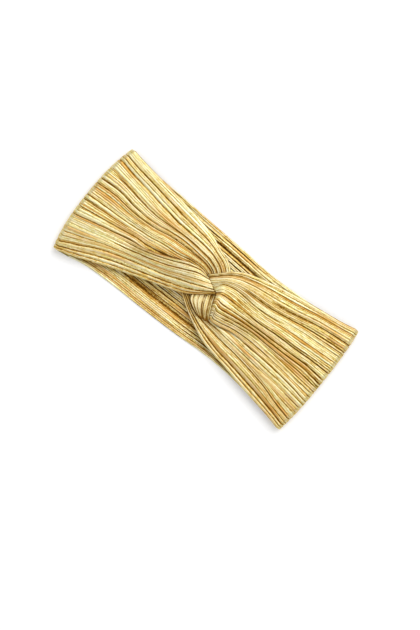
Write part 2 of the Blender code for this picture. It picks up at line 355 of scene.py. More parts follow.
@dataclass(frozen=True)
class Ribs:
    """The fine creases and the ribs between them, which run along a cloth. Lengths in metres.

    pitch: mean breadth of a rib
    jitter: how much one rib's breadth may differ, as a share
    plain, pleat: the two kinds of crease, which take turns
    same_share: how often two creases of one kind lie side by side all the same
    steepest: greatest depth of a crease, as a share of its rib's breadth there
    stretch: how far along a crease its depth changes
    streak: how far along a rib its tone changes
    section: power of a crease's section
    shade_reach: breadth of its line of painted shade, as a share of its own
    shade_power: how rare the darkest stretches of that painted shade are
    tones: how much the ribs' tones differ
    turns: how much lighter every other rib may be
    warmth: how warm a rib's tone may be
    warm_power: how rare the warm stretches are
    """

    pitch: float = 0.0019
    jitter: float = 0.48
    plain: Crease = Crease(
        shallowest=0.00010,
        deepest=0.00026,
        reach=0.00043,
        narrowest=0.2,
        faintest=0.22,
        shade_range=0.40,
        palest=0.45,
    )
    pleat: Crease = Crease(
        shallowest=0.00008,
        deepest=0.00048,
        reach=0.00048,
        narrowest=0.45,
        faintest=0.38,
        shade_range=1.20,
        palest=0.8,
    )
    same_share: float = 0.2
    steepest: float = 0.42
    stretch: float = 0.026
    streak: float = 0.034
    section: float = 1.3
    shade_reach: float = 0.72
    shade_power: float = 1.3
    tones: float = 0.28
    turns: float = 0.20
    warmth: float = 0.9
    warm_power: float = 2.2

    def creases(self, width: float, valleys: tuple[Valley, ...], seed: int) -> np.ndarray:
        """Places of the creases across a cloth, the long valleys among them.

        Args:
            width: The cloth's width at its fold.
            valleys: Its long valleys.
            seed: Number that picks the ribs' breadths.

        Returns:
            Rising shares across the cloth, from 0 to 1.
        """
        chance = np.random.RandomState(seed)
        fixed = sorted({0.0, 1.0} | {valley.at for valley in valleys})
        marks = [0.0]
        for low, high in zip(fixed, fixed[1:]):
            count = max(1, round((high - low) * width / self.pitch))
            widths = 1 + self.jitter * (2 * chance.rand(count) - 1)
            marks += list(low + (high - low) * np.cumsum(widths) / widths.sum())
        return np.array(marks)

    def columns(self, width: float, valleys: tuple[Valley, ...], seed: int) -> np.ndarray:
        """Places of the mesh's columns, a few to each rib and one on each crease.

        Args:
            width: The cloth's width at its fold.
            valleys: Its long valleys.
            seed: Number that picks the ribs' breadths.

        Returns:
            Rising shares across the cloth, from 0 to 1.
        """
        creases = self.creases(width, valleys, seed)
        count = PER_RIB * (len(creases) - 1)
        return np.interp(np.arange(count + 1) / PER_RIB, np.arange(len(creases)), creases)

    def relief(
        self, across: np.ndarray, along: np.ndarray, seed: int
    ) -> tuple[np.ndarray, np.ndarray, np.ndarray, np.ndarray]:
        """The random depths and tones of the creases and of the ribs between them.

        Args:
            across: Distances across the cloth at each point.
            along: Distances along the cloth at each point.
            seed: Number that picks them.

        Returns:
            Heights in metres, the creases' painted shade, the ribs' tones and their warmth.
        """
        columns = np.arange(across.shape[1])
        left = np.minimum(columns // PER_RIB, (len(columns) - 1) // PER_RIB - 1)
        at = across[:, ::PER_RIB]
        count = at.shape[1]
        chance = np.random.RandomState(seed)
        is_pleat = (np.arange(count) + np.cumsum(chance.rand(count) < self.same_share)) % 2 == 0

        def each(size: str) -> np.ndarray:
            """One size of every crease, by its kind."""
            return np.where(is_pleat, getattr(self.pleat, size), getattr(self.plain, size))

        line = np.broadcast_to(np.arange(count), at.shape)
        place = along[:, ::PER_RIB]
        depth = drift(seed + 1, line, place / self.stretch)
        depth = each("shallowest") + (each("deepest") - each("shallowest")) * depth
        breadth = np.gradient(at, axis=1)
        depth = np.minimum(depth, self.steepest * breadth)
        crowding = breadth / self.pitch
        reach = each("reach") * np.clip(crowding, each("narrowest"), 1)
        drawn = drift(seed + 2, line, place / self.streak) ** self.shade_power
        drawn = each("faintest") + each("shade_range") * drawn
        drawn *= np.clip(crowding, each("palest"), 1)
        height = np.zeros(across.shape)
        crease_shade = np.zeros(across.shape)
        # Each crease is cut into the height, and a thin line of painted shade is laid along it
        for side in (left, left + 1):
            gap = np.abs(across - at[:, side]) / reach[:, side]
            height -= depth[:, side] * np.exp(-(gap**self.section))
            crease_shade += drawn[:, side] * np.exp(-((gap / self.shade_reach) ** 2))
        line = np.broadcast_to(left, across.shape)
        place = along / self.streak
        tint = self.tones * (drift(seed + 3, line, place) - 0.5)
        tint += self.turns * (1 - 2 * (line % 2)) * drift(seed + 4, line, place)
        warm = self.warmth * drift(seed + 5, line, place) ** self.warm_power
        return height, crease_shade, tint, warm


@dataclass(frozen=True)
class Tones:
    """What the cloth's relief does to its finish. All are shares.

    flat: tone of flat cloth, from 0, darkest, to 1, palest
    valley: painted shade of a long valley, as how much darker it is; bend: how much darker the sharply bent
    cloth is
    foil_shadow, foil_bend, foil_valley: how much less metallic the cloth is where it tucks under or
        is bent, and in a long valley, which keeps the painted shade there dull
    least_foil: the least foil that shows anywhere
    glow_valley, glow_crease: how much of the warm tint and painted bounce light the painted shade of a long
    valley and of a fine crease takes away
    """

    flat: float = 0.87
    valley: float = 1.05
    bend: float = 0.14
    foil_shadow: float = 0.8
    foil_bend: float = 0.5
    foil_valley: float = 0.7
    least_foil: float = 0.1
    glow_valley: float = 0.75
    glow_crease: float = 0.12


class Weave(NamedTuple):
    """A cloth's surfaces as grids of points, with what its finish needs to know.

    outer, inner: its two faces
    flat: where each point lies on the flat cloth, in metres
    shade: its tone, from 0, darkest, to 1, palest, with painted shade, painted shadows and painted highlights
    in it
    warmth_and_painted_bounce: how warm it is, from 0 to 1, from the ribs' own warm tint and from painted warm
    bounce light beside the valleys
    foil: how metallic it is, from 0 to 1
    """

    outer: np.ndarray
    inner: np.ndarray
    flat: np.ndarray
    shade: np.ndarray
    warmth_and_painted_bounce: np.ndarray
    foil: np.ndarray


class PaintedLight(NamedTuple):
    """A soft patch of painted highlight, or of painted shadow where light is minus.

    x, y: its middle in millimetres
    length, width: how far it reaches along x and along y, in millimetres
    light: what it adds to the tone at its middle
    """

    x: float
    y: float
    length: float
    width: float
    light: float

    def on(self, middle: np.ndarray) -> np.ndarray:
        """What it adds to the tone at each point.

        Args:
            middle: Grid of points in metres.

        Returns:
            Grid of tones.
        """
        far = ((middle[..., 0] / MM - self.x) / self.length) ** 2
        far += ((middle[..., 1] / MM - self.y) / self.width) ** 2
        return self.light * np.exp(-far)


@dataclass(frozen=True)
class Lay:
    """How a cloth lies: one value for each row of its grid, or for each point.

    fold_row: the row at the end fold, where the ribs are set out
    way: where each row lies, in shares of the reach
    edge_drop: how far each point is rolled down at a free edge, in metres
    deepest: the deepest that a valley may go, in metres
    shadow: painted shadow where the cloth tucks under, as how much darker it is made there
    calm: how much plainer the cloth is where it is bent sharply, from 0 to 1
    ribbing: how strong its fine creases are
    painted_lights: its patches of painted highlight and painted shadow
    """

    fold_row: int
    way: np.ndarray
    edge_drop: np.ndarray
    deepest: np.ndarray
    shadow: np.ndarray | float = 0.0
    calm: np.ndarray | float = 0.0
    ribbing: np.ndarray | float = 1.0
    painted_lights: tuple[PaintedLight, ...] = ()


@dataclass(frozen=True)
class Cloth:
    """The pleated cloth that all the pieces are made of. Lengths in metres.

    thickness: thickness of the cloth
    ridge_rise: the most that a rib stands above the smooth middle surface
    valley_drop: the most that a valley goes below it
    lift: how far the flat cloth stands above it
    crown: height of the low crown between two long valleys
    crown_width: distance between two valleys from which the crown has its full height
    crown_power: how boxy the crown is, the less the more
    valley_calm: how much flatter the fine creases are in a long valley, as a share
    hem_width: how far from its long edges the fine creases are flatter
    hem_relief: the share of their depth that they keep at the edge
    ribs, section, tones: its fine creases, its valleys' section, and the tones, painted shade among them,
    that both give the finish
    """

    thickness: float = 0.0005
    ridge_rise: float = 0.00095
    valley_drop: float = 0.00135
    lift: float = 0.0002
    crown: float = 0.00006
    crown_width: float = 0.007
    crown_power: float = 0.8
    valley_calm: float = 0.5
    hem_width: float = 0.0015
    hem_relief: float = 0.25
    ribs: Ribs = Ribs()
    section: ValleySection = ValleySection()
    tones: Tones = Tones()

    def weave(self, middle: np.ndarray, lay: Lay, valleys: tuple[Valley, ...], seed: int) -> Weave:
        """Lays ribs and valleys on a smooth middle surface.

        Args:
            middle: Grid of points, rows along the cloth and a few columns to each rib.
            lay: How the cloth lies.
            valleys: The long valleys of this cloth.
            seed: Number that picks its random creases.

        Returns:
            The two surfaces of the cloth, and what its finish needs to know.
        """
        down = np.gradient(middle, axis=0)
        cross = np.gradient(middle, axis=1)
        normal = np.cross(cross, down)
        normal /= np.linalg.norm(normal, axis=-1, keepdims=True)
        normal *= np.sign(normal[-1, 0, 2])
        across = travel(middle, 1)
        along = travel(middle, 0)
        first = across[lay.fold_row]
        share = first / first[-1]
        height, crease_shade, tint, warm = self.ribs.relief(across, along, seed)
        cut, dark, warmth_and_painted_bounce = self._cuts(across, share, lay.way, valleys)
        hem = smooth_step(np.minimum(across, across[:, -1:] - across) / self.hem_width)
        hem = self.hem_relief + (1 - self.hem_relief) * hem
        height = height * lay.ribbing * hem * (1 - self.valley_calm * smooth_step(cut / MM))
        height = height - cut + self._swell(share, across, valleys) + self.lift
        limit = np.where(height > 0, self.ridge_rise, lay.deepest)
        height = limit * np.tanh(height / limit) - lay.edge_drop
        tones = self.tones
        crease_shade = crease_shade * lay.ribbing
        # The tone takes thin lines of painted shade in the creases, painted shade in the long valleys, the
        # patches of painted highlight and painted shadow, and painted shadow where the cloth tucks under
        drawn = tint * lay.ribbing - crease_shade - tones.valley * dark + sum(painted_light.on(middle) for painted_light in lay.painted_lights)
        shade = tones.flat + (1 - lay.calm) * drawn - tones.bend * lay.calm - lay.shadow
        foil = 1 - tones.foil_shadow * lay.shadow - tones.foil_bend * lay.calm - tones.foil_valley * dark
        # The warmth is the ribs' own warm tint, with painted warm bounce light beside the valleys, and less
        # of both where shade is painted
        warmth_and_painted_bounce = np.maximum(warm, warmth_and_painted_bounce) * (1 - lay.calm) * (1 - tones.glow_valley * dark)
        lifted = middle + normal * height[..., None]
        half = normal * self.thickness / 2
        return Weave(
            outer=lifted + half,
            inner=lifted - half,
            flat=np.stack([along, np.broadcast_to(first, across.shape)], axis=-1),
            shade=np.clip(shade, 0, 1),
            warmth_and_painted_bounce=np.clip(warmth_and_painted_bounce - tones.glow_crease * crease_shade, 0, 1),
            foil=np.clip(foil, tones.least_foil, 1),
        )

    def _cuts(
        self, across: np.ndarray, share: np.ndarray, way: np.ndarray, valleys: tuple[Valley, ...]
    ) -> tuple[np.ndarray, np.ndarray, np.ndarray]:
        """The long valleys of a cloth.

        Args:
            across: Distances across the cloth at each point.
            share: Shares across the cloth of its columns.
            way: Where each row lies, in shares of the reach.
            valleys: The valleys.

        Returns:
            Depths in metres, the valleys' painted shade, and the painted warm bounce light on their sides.
        """
        section = self.section
        cut, dark, warmth_and_painted_bounce = (np.zeros(across.shape) for _ in range(3))
        for valley in valleys:
            centre = np.array([np.interp(valley.at, share, row) for row in across])[:, None]
            strength = valley.strength(way)
            offset = (across - centre) / (valley.breadth * MM)
            gap = np.abs(offset)
            depth = np.exp(-((section.cut_slope * gap) ** section.cut_power)) * strength
            cut = np.maximum(cut, depth * section.cut_share * valley.depth * MM)
            # Painted shade along the valley's middle
            black = np.exp(-((section.dark_slope * gap) ** section.dark_power)) * strength
            dark = np.maximum(dark, black * min(1.0, valley.depth / section.dark_depth))
            # Painted warm bounce light on one side of the valley
            side = np.exp(-(((offset - section.bounce_offset) / section.bounce_reach) ** 2))
            warmth_and_painted_bounce = np.maximum(warmth_and_painted_bounce, side * strength * valley.warmth_and_painted_bounce)
        return cut, dark, warmth_and_painted_bounce

    def _swell(self, share: np.ndarray, across: np.ndarray, valleys: tuple[Valley, ...]) -> np.ndarray:
        """The low crown of the cloth between its long valleys.

        Args:
            share: Shares across the cloth of its columns.
            across: Distances across the cloth at each point.
            valleys: The valleys.

        Returns:
            Heights in metres.
        """
        marks = np.array(sorted({0.0, 1.0} | {valley.at for valley in valleys}))
        number = np.clip(np.searchsorted(marks, share, side="right") - 1, 0, len(marks) - 2)
        low, high = marks[number], marks[number + 1]
        part = np.clip((share - low) / (high - low), 0, 1)
        size = np.clip((high - low) * across[:, -1:] / self.crown_width, 0, 1)
        return self.crown * size * np.sin(np.pi * part) ** self.crown_power


def add_cloth(name: str, weave: Weave, material: bpy.types.Material) -> bpy.types.Object:
    """Makes a closed sheet: a grid, given a wall, whose two faces then take the weave's points.

    Args:
        name: The piece's name.
        weave: The points of its two faces.
        material: Its finish.

    Returns:
        The new piece.
    """
    rows, columns = weave.outer.shape[:2]
    bpy.ops.object.select_all(action="DESELECT")
    bpy.ops.mesh.primitive_grid_add(x_subdivisions=columns - 1, y_subdivisions=rows - 1, size=1)
    sheet = bpy.context.object
    sheet.name = name
    sheet.modifiers.new("wall", "SOLIDIFY")
    bpy.ops.object.modifier_apply(modifier="wall")
    mesh = sheet.data
    mesh.name = name
    place = np.concatenate([weave.outer.reshape(-1, 3), weave.inner.reshape(-1, 3)])
    mesh.vertices.foreach_set("co", place.astype(np.float32).ravel())
    corners = np.empty(len(mesh.loops), np.int32)
    mesh.loops.foreach_get("vertex_index", corners)
    flat = weave.flat.reshape(-1, 2)[corners % (rows * columns)]
    mesh.uv_layers.active.data.foreach_set("uv", flat.astype(np.float32).ravel())
    for title, values in (("shade", weave.shade), ("warmth_and_painted_bounce", weave.warmth_and_painted_bounce), ("foil", weave.foil)):
        both = np.tile(values.ravel(), 2).astype(np.float32)
        mesh.attributes.new(title, "FLOAT", "POINT").data.foreach_set("value", both)
    mesh.update()
    bpy.ops.object.mode_set(mode="EDIT")
    bpy.ops.mesh.select_all(action="SELECT")
    bpy.ops.mesh.normals_make_consistent(inside=False)
    bpy.ops.object.mode_set(mode="OBJECT")
    bpy.ops.object.shade_smooth_by_angle(angle=math.radians(SMOOTH_ANGLE))
    mesh.materials.clear()
    mesh.materials.append(material)
    return sheet


def declare(piece: bpy.types.Object, node: str) -> None:
    """Tells the frame what a piece is.

    Args:
        piece: The piece.
        node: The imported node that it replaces.
    """
    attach(piece, "root")
    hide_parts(node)


@dataclass(frozen=True)
class Leg:
    """One leg of a strip, from the seam underneath, round the end fold, to the knot.

    name: the piece's name
    stations: its sections, from the fold to the knot
    valleys: its long valleys
    painted_lights: its patches of painted highlight and painted shadow
    seed: number that picks its random creases
    free_rows: mesh rows from the slit to its end
    rolls: radii in millimetres to which its upper and its lower edge are rolled down
    tuck: how far its end goes down and how far on under its neighbour, in millimetres
    inner_edge: the edge that lies along the slit
    ribbing: how strong its fine creases are
    end_roll, end_ribbing: the shares of its rolls and of its creases that are left at its end
    ending_from, ending_over: where they begin to lessen, counted back from the end, and over
        what length, both in shares of the free rows
    under_roll: the share of its rolls that it has underneath the end fold
    opening_rows: mesh rows over which its inner edge begins to roll, from the slit on
    """

    name: str
    stations: tuple[Station, ...]
    valleys: tuple[Valley, ...]
    painted_lights: tuple[PaintedLight, ...]
    seed: int
    free_rows: int
    rolls: tuple[float, float]
    tuck: tuple[float, float]
    inner_edge: Edge
    ribbing: float = 1.0
    end_roll: float = 1.0
    end_ribbing: float = 1.0
    ending_from: float = 0.36
    ending_over: float = 0.29
    under_roll: float = 0.3
    opening_rows: int = 24

    def build(
        self, plan: BandPlan, strip: "Strip", cloth: Cloth, material: bpy.types.Material
    ) -> tuple[bpy.types.Object, tuple[float, float]]:
        """Builds the leg's piece.

        Args:
            plan: The band's layout.
            strip: The strip that the leg belongs to.
            cloth: The cloth that it is made of.
            material: Its finish.

        Returns:
            The piece, and the width and length of its flat cloth.
        """
        first = self.stations[0].across
        width = (first[0] - first[-1]) * plan.end_width / 2
        columns = cloth.ribs.columns(width, self.valleys, self.seed)
        middle, way = self._middle(plan, strip, columns)
        lay = self._lay(strip, cloth, middle, way)
        weave = cloth.weave(middle, lay, self.valleys, self.seed)
        flat_width = float(travel(middle, 1)[strip.fold_row, -1])
        flat_length = float(travel(middle, 0)[-1].mean())
        return add_cloth(self.name, weave, material), (flat_width, flat_length)

    def _middle(
        self, plan: BandPlan, strip: "Strip", columns: np.ndarray
    ) -> tuple[np.ndarray, np.ndarray]:
        """The smooth middle surface of the leg.

        Args:
            plan: The band's layout.
            strip: The strip that the leg belongs to.
            columns: Shares of the mesh's columns across the leg.

        Returns:
            A grid of points, and for each row its place in shares of the reach.
        """
        side = strip.side
        lines = np.moveaxis(np.array(self.stations), 1, 2)
        first = self.stations[0].across
        knots = [(first[0] - value) / (first[0] - first[-1]) for value in first]
        lines = np.moveaxis(through(knots, np.moveaxis(lines, 1, 0), columns), 0, 1)
        flat = plan.points(lines[..., 0], lines[..., 1], np.zeros(lines.shape[:2]))
        centre = flat[:, len(columns) // 2]
        walk = np.linalg.norm(np.diff(centre, axis=0), axis=-1)
        # Up to the slit both legs take the same steps, so that their rows meet there
        for row in range(strip.slit):
            step = abs(self.stations[row + 1].along[0] - self.stations[row].along[0])
            walk[row] = step * plan.reach(Side.RIGHT)
        walked = np.concatenate([[0], np.cumsum(walk)])
        shared = np.linspace(0, walked[strip.slit], strip.shared_rows, endpoint=False)
        free = np.linspace(walked[strip.slit], walked[-1], self.free_rows + 1)
        at = np.concatenate([shared, free])
        lines = through(walked, lines, at)
        height = plan.front_level + lines[..., 2] * plan.layer_step
        front = plan.points(lines[..., 0], lines[..., 1], height)
        wrapped = self._wrapped(plan, strip, lines[0, :, 1])
        at = np.concatenate([at, np.full(TUCK_ROWS, at[-1])])
        way = side.value * (1 - at / plan.reach(side))
        way = np.concatenate([np.full(len(wrapped), side.value * 1.0), way])
        return np.concatenate([wrapped, front, self._tucked(front)]), way

    def _tucked(self, front: np.ndarray) -> np.ndarray:
        """Rows that carry on from the leg's end, down and under its neighbour.

        Args:
            front: Grid of points of the leg's front.

        Returns:
            Grid of points, a quarter turn deep.
        """
        drop, forward = (value * MM for value in self.tuck)
        # The end runs on the way its last two steps go
        ahead = front[-1] - front[-3]
        ahead[:, 2] = 0
        ahead /= np.linalg.norm(ahead, axis=-1, keepdims=True)
        rows = []
        for turn in np.arange(1, TUCK_ROWS + 1) / TUCK_ROWS * math.pi / 2:
            row = front[-1] + ahead * forward * math.sin(turn)
            row[:, 2] -= drop * (1 - math.cos(turn))
            rows.append(row)
        return np.array(rows)

    @staticmethod
    def _wrapped(plan: BandPlan, strip: "Strip", across: np.ndarray) -> np.ndarray:
        """Rows of middle points from the seam underneath, round the end fold.

        Args:
            plan: The band's layout.
            strip: The strip that the leg belongs to.
            across: Shares of the half width of the leg's columns at the fold.

        Returns:
            Grid of points.
        """
        side = strip.side.value
        seam = 1 - plan.back_seam / plan.reach(strip.side)
        rows = []
        for share in np.linspace(seam, 1, strip.under_rows, endpoint=False):
            along = np.full_like(across, side * share)
            rows.append(plan.points(along, across, np.full_like(across, plan.back_level)))
        centre = (plan.front_level + plan.back_level) / 2
        for turn in np.linspace(0, math.pi, strip.fold_rows, endpoint=False):
            height = centre - plan.fold_radius * math.cos(turn)
            row = plan.points(np.full_like(across, float(side)), across, np.full_like(across, height))
            row[:, 0] += side * plan.fold_radius * math.sin(turn)
            rows.append(row)
        return np.array(rows)

    def _lay(self, strip: "Strip", cloth: Cloth, middle: np.ndarray, way: np.ndarray) -> Lay:
        """How the leg lies: its rolled edges, its tucked end and its plainer fold.

        Args:
            strip: The strip that the leg belongs to.
            cloth: The cloth that it is made of.
            middle: Grid of its middle points.
            way: Where each row lies, in shares of the reach.

        Returns:
            How the leg lies.
        """
        row = np.arange(len(middle))[:, None]
        opened = smooth_step((row - strip.slit_row) / self.opening_rows)
        left_over = (len(middle) - TUCK_ROWS - row) / self.free_rows
        ending = smooth_step((self.ending_from - left_over) / self.ending_over)
        wrapped = smooth_step((row - strip.under_rows) / strip.fold_rows)
        wrapped = self.under_roll + (1 - self.under_roll) * wrapped
        across = travel(middle, 1)
        drop = 0.0
        for edge, distance in zip(Edge, (across, across[:, -1:] - across)):
            radius = self.rolls[edge.value] * MM * (1 - (1 - self.end_roll) * ending)
            free = opened if edge is self.inner_edge else 1.0
            drop = drop + rolled(distance, radius) * wrapped * free
        # The tucked end is painted darker as shadow, most at its very end
        tucked = np.clip((row - len(middle) + 1 + TUCK_ROWS) / TUCK_ROWS, 0, 1)
        return Lay(
            fold_row=strip.fold_row,
            way=way,
            edge_drop=drop,
            deepest=np.where(row < strip.fold_row, cloth.ridge_rise, cloth.valley_drop),
            shadow=np.sqrt(tucked),
            calm=strip.calm(row),
            ribbing=self.ribbing * (1 - (1 - self.end_ribbing) * ending),
            painted_lights=self.painted_lights,
        )


@dataclass(frozen=True)
class Strip:
    """A strip of cloth round one end fold, with its two legs.

    node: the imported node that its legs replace
    side: the end of the band that it comes from
    upper, lower: its legs
    slit: the station, counted from the fold, at which they part
    shared_rows, under_rows, fold_rows: mesh rows on the front up to the slit, from the seam
        to the fold, and round the fold
    flap_calm, fold_calm: how much plainer the cloth is underneath and round the fold
    calm_change: mesh rows over which one becomes the other
    calm_past, calm_fade: mesh rows past the fold at which it is no longer plainer, and over
        which that ends
    """

    node: str
    side: Side
    upper: Leg
    lower: Leg
    slit: int
    shared_rows: int
    under_rows: int = 12
    fold_rows: int = 22
    flap_calm: float = 0.85
    fold_calm: float = 0.50
    calm_change: int = 6
    calm_past: int = 2
    calm_fade: int = 8

    @property
    def fold_row(self) -> int:
        """The row at which the front begins."""
        return self.under_rows + self.fold_rows

    @property
    def slit_row(self) -> int:
        """The row at which the legs part."""
        return self.fold_row + self.shared_rows

    def calm(self, row: np.ndarray) -> np.ndarray:
        """How much plainer the cloth is in each row.

        Args:
            row: Numbers of the rows.

        Returns:
            Shares, from the flap's own underneath to nothing on the front.
        """
        turned = smooth_step((row - self.under_rows) / self.calm_change)
        calm = self.flap_calm - (self.flap_calm - self.fold_calm) * turned
        return calm * smooth_step((self.fold_row + self.calm_past - row) / self.calm_fade)

    def build(self, plan: BandPlan, cloth: Cloth, material: bpy.types.Material) -> list[bpy.types.Object]:
        """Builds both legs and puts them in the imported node's place.

        Args:
            plan: The band's layout.
            cloth: The cloth that they are made of.
            material: Their finish.

        Returns:
            The two pieces.
        """
        pieces = []
        for leg in (self.upper, self.lower):
            piece, flat = leg.build(plan, self, cloth, material)
            declare(piece, self.node)
            pieces.append(piece)
        return pieces


class BackEdge(NamedTuple):
    """How far the back cloth reaches up and down at one place.

    along: the place, as a share of the reach, minus to the left
    top, bottom: its edges there, in shares of the half width
    """

    along: float
    top: float
    bottom: float


@dataclass(frozen=True)
class BackCloth:
    """The straight pleated layer at the back, which lies on the floor. Lengths in metres.

    edges: how far it reaches up and down
    valleys: its long valleys
    painted_lights: its patches of painted highlight and painted shadow
    flat: width and length of its flat cloth; not used
    rows: mesh rows from seam to seam
    seam_gap: gap between it and each strip at the seam
    roll: how far from its long edges it is rolled down
    roll_share: how much of a whole roll that is
    seed: number that picks its random creases
    """

    edges: tuple[BackEdge, ...]
    valleys: tuple[Valley, ...]
    painted_lights: tuple[PaintedLight, ...]
    flat: tuple[float, float] = (0.105, 0.221)
    rows: int = 140
    seam_gap: float = 0.0001
    roll: float = 0.001
    roll_share: float = 0.5
    seed: int = 700

    def build(self, plan: BandPlan, cloth: Cloth, material: bpy.types.Material) -> bpy.types.Object:
        """Builds the back cloth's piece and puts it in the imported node's place.

        Args:
            plan: The band's layout.
            cloth: The cloth that it is made of.
            material: Its finish.

        Returns:
            The piece.
        """
        gap = plan.back_seam + self.seam_gap
        left = -(1 - gap / plan.reach(Side.LEFT))
        right = 1 - gap / plan.reach(Side.RIGHT)
        along = np.linspace(left, right, self.rows + 1)
        edges = through([edge.along for edge in self.edges], np.array(self.edges), along)
        top, bottom = edges[:, 1:2], edges[:, 2:3]
        across = top + (bottom - top) * cloth.ribs.columns(plan.end_width, self.valleys, self.seed)
        spread = np.broadcast_to(along[:, None], across.shape)
        middle = plan.points(spread, across, np.full(across.shape, plan.back_level))
        walked = travel(middle, 1)
        drop = rolled(walked, self.roll) + rolled(walked[:, -1:] - walked, self.roll)
        lay = Lay(
            fold_row=0,
            way=along,
            edge_drop=self.roll_share * drop,
            deepest=np.full((self.rows + 1, 1), cloth.ridge_rise),
            painted_lights=self.painted_lights,
        )
        piece = add_cloth("back_cloth", cloth.weave(middle, lay, self.valleys, self.seed), material)
        declare(piece, "back_band")
        return piece


class Nodes:
    """A tree of shader nodes, with a short way to add each kind."""

    def __init__(self, tree: bpy.types.NodeTree) -> None:
        """Takes the tree that the nodes are added to."""
        self.tree = tree

    def link(self, source: bpy.types.NodeSocket, target: bpy.types.NodeSocket) -> None:
        """Joins two sockets."""
        self.tree.links.new(source, target)

    def math(self, operation: str, *values: bpy.types.NodeSocket | float) -> bpy.types.NodeSocket:
        """Adds a sum.

        Args:
            operation: What the sum does.
            values: The numbers and sockets that it takes, in order.

        Returns:
            The socket of its result.
        """
        node = self.tree.nodes.new("ShaderNodeMath")
        node.operation = operation
        for slot, value in zip(node.inputs, values):
            if isinstance(value, bpy.types.NodeSocket):
                self.link(value, slot)
            else:
                slot.default_value = value
        return node.outputs[0]

    def attribute(self, title: str) -> bpy.types.NodeSocket:
        """Reads one of the values that each point of a cloth carries.

        Args:
            title: The value's name.

        Returns:
            The socket of the value.
        """
        node = self.tree.nodes.new("ShaderNodeAttribute")
        node.attribute_name = title
        return node.outputs["Fac"]

    def use(self, group: "NodeGroup", **values: float) -> bpy.types.NodeSocket:
        """Places a node group.

        Args:
            group: The group.
            values: Its own values here, by the names of its inputs.

        Returns:
            The socket of its output.
        """
        node = self.tree.nodes.new("ShaderNodeGroup")
        node.node_tree = group.tree
        for title, value in values.items():
            node.inputs[title].default_value = value
        return node.outputs[0]

    def mix(
        self, blend: str, share: bpy.types.NodeSocket, base: bpy.types.NodeSocket, colour: Colour
    ) -> bpy.types.NodeSocket:
        """Mixes a colour into what a socket gives.

        Args:
            blend: How the colour is mixed in.
            share: The socket that says how much of it is mixed in.
            base: The socket that it is mixed into.
            colour: The colour.

        Returns:
            The socket of the result.
        """
        node = self.tree.nodes.new("ShaderNodeMix")
        node.data_type = "RGBA"
        node.blend_type = blend
        node.inputs["B"].default_value = (*colour, 1.0)
        self.link(share, node.inputs["Factor"])
        self.link(base, node.inputs["A"])
        return node.outputs["Result"]


class NodeGroup(Nodes):
    """A shader node group with named inputs and one output, which reads the cloth's own map."""

    def __init__(self, name: str, inputs: dict[str, float], output: str) -> None:
        """Makes the group.

        Args:
            name: The group's name.
            inputs: Each number that it takes, with its usual value.
            output: The name of the number that it gives.
        """
        super().__init__(bpy.data.node_groups.new(name, "ShaderNodeTree"))
        for title, value in inputs.items():
            socket = self.tree.interface.new_socket(title, in_out="INPUT", socket_type="NodeSocketFloat")
            socket.default_value = value
        self.tree.interface.new_socket(output, in_out="OUTPUT", socket_type="NodeSocketFloat")
        self.inputs = self.tree.nodes.new("NodeGroupInput").outputs
        self.output = self.tree.nodes.new("NodeGroupOutput").inputs[output]
        place = self.tree.nodes.new("ShaderNodeUVMap")
        split = self.tree.nodes.new("ShaderNodeSeparateXYZ")
        self.link(place.outputs["UV"], split.inputs[0])
        self.along, self.across = split.outputs["X"], split.outputs["Y"]


class FoilStreaks(NodeGroup):
    """Streaks of lighter and darker foil that run along the cloth."""

    # How fine each of the two noises is, and its share in the streaks
    NOISES = ((1.0, 0.55), (2.0, 0.45))
    DETAIL = 2.0

    def __init__(self) -> None:
        """Builds the group: two stretched noises on the cloth's own map."""
        super().__init__("foil_streaks", {"Pitch": 0.0016, "Run": 0.03}, "Streak")
        run = self.math("DIVIDE", self.along, self.inputs["Run"])
        pitch = self.math("DIVIDE", self.across, self.inputs["Pitch"])
        parts = []
        for fineness, share in self.NOISES:
            join = self.tree.nodes.new("ShaderNodeCombineXYZ")
            self.link(self.math("MULTIPLY", run, fineness), join.inputs["X"])
            self.link(self.math("MULTIPLY", pitch, fineness), join.inputs["Y"])
            noise = self.tree.nodes.new("ShaderNodeTexNoise")
            noise.noise_dimensions = "2D"
            noise.inputs["Scale"].default_value = 1.0
            noise.inputs["Detail"].default_value = self.DETAIL
            self.link(join.outputs[0], noise.inputs["Vector"])
            parts.append(self.math("MULTIPLY", noise.outputs["Fac"], share))
        self.link(self.math("ADD", *parts), self.output)


class KnitGrain(NodeGroup):
    """The tiny stitches of the knit under the foil, as a height."""

    def __init__(self) -> None:
        """Builds the group: rows of small stitches across and along the cloth."""
        super().__init__("knit_grain", {"Stitch": 0.0007, "Row": 0.0009}, "Height")
        waves = []
        for place, size in ((self.along, "Row"), (self.across, "Stitch")):
            turns = self.math("DIVIDE", place, self.inputs[size])
            waves.append(self.math("SINE", self.math("MULTIPLY", turns, 2 * math.pi)))
        both = self.math("MULTIPLY", *waves)
        self.link(self.math("MULTIPLY_ADD", both, 0.5, 0.5), self.output)


class Mottle(NamedTuple):
    """One size of mottling in the foil.

    pitch, run: its size across and along the cloth, in metres
    gain: how strong it is
    """

    pitch: float
    run: float
    gain: float


